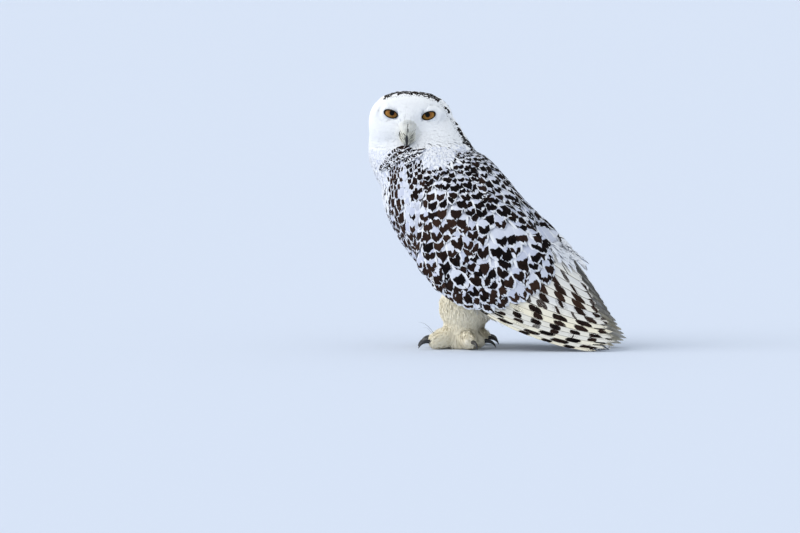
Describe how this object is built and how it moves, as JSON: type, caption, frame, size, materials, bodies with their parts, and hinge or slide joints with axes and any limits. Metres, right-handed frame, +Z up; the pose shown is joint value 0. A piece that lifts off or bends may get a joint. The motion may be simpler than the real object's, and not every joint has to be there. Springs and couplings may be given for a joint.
{
  "type": "snowy owl",
  "caption": "Life-size snowy owl standing at rest with folded wings, its head turned over its left shoulder; a still figure of a live bird.",
  "frame": {"origin": "centre of the bounding box in plan, on the plane that the soles of the feet stand on", "axes": "+Z up; the body faces -Y; the bird's left side is +X; the head is turned about 100 degrees to its left"},
  "size_m": [0.238, 0.4302, 0.4213],
  "materials": {
    "white_plumage": "soft white down and contour feathers, matt",
    "spotted_plumage": "white feathers with dark brown spots and bars, matt",
    "leg_plumage": "cream hair-like feathers, matt",
    "horn": "black horn, smooth",
    "iris": "amber iris and black pupil under a clear wet cornea"
  },
  "bodies": {
    "root": {"torso": "white_plumage", "neck": "white_plumage", "head": "white_plumage", "bill_upper": "horn", "bill_lower": "horn", "eye_left": "iris", "eye_right": "iris", "wing_left": "spotted_plumage", "wing_right": "spotted_plumage", "tail": "spotted_plumage", "leg_left": "leg_plumage", "leg_right": "leg_plumage", "foot_left": "leg_plumage", "foot_right": "leg_plumage", "claw_left_1": "horn", "claw_left_2": "horn", "claw_left_3": "horn", "claw_left_4": "horn", "claw_right_1": "horn", "claw_right_2": "horn", "claw_right_3": "horn", "claw_right_4": "horn"}
  },
  "joints": []
}
